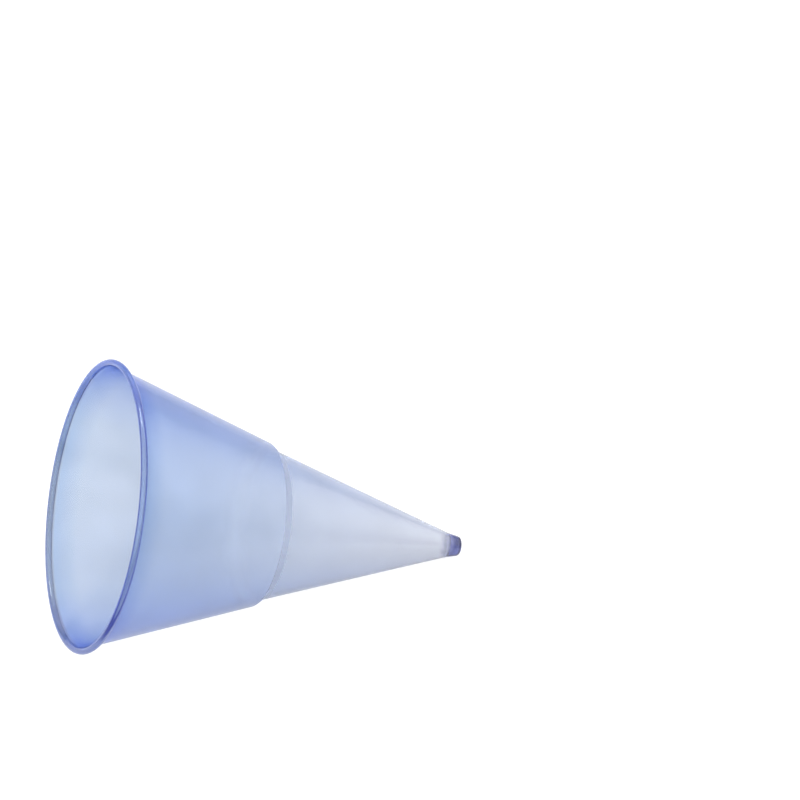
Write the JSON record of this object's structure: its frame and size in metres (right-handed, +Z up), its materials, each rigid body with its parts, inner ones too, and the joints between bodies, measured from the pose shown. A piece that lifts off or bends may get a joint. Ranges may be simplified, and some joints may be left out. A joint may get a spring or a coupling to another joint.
{
  "type": "plastic cone cup",
  "caption": "Cone-shaped disposable drinking cup of thin, milky blue see-through plastic, with a rolled lip, a stacking shoulder and a solid tip, lying on its side.",
  "frame": {"origin": "on the floor under the centre of the cup's bounding box, as it lies on its side", "axes": "+Z up, +X along the floor towards the tip, so the mouth faces -X and a little up; the cup's own axis lies in the XZ plane, 19.49 degrees from the floor, and XZ is its plane of symmetry"},
  "size_m": [0.1032, 0.072, 0.068],
  "materials": {
    "blue_plastic": "thin polypropylene sheet tinted blue, milky and see-through, smooth and softly glossy, deeper in colour where it is seen edge-on, at the lip and in the solid tip"
  },
  "bodies": {
    "root": {"cup": "blue_plastic"}
  },
  "joints": []
}
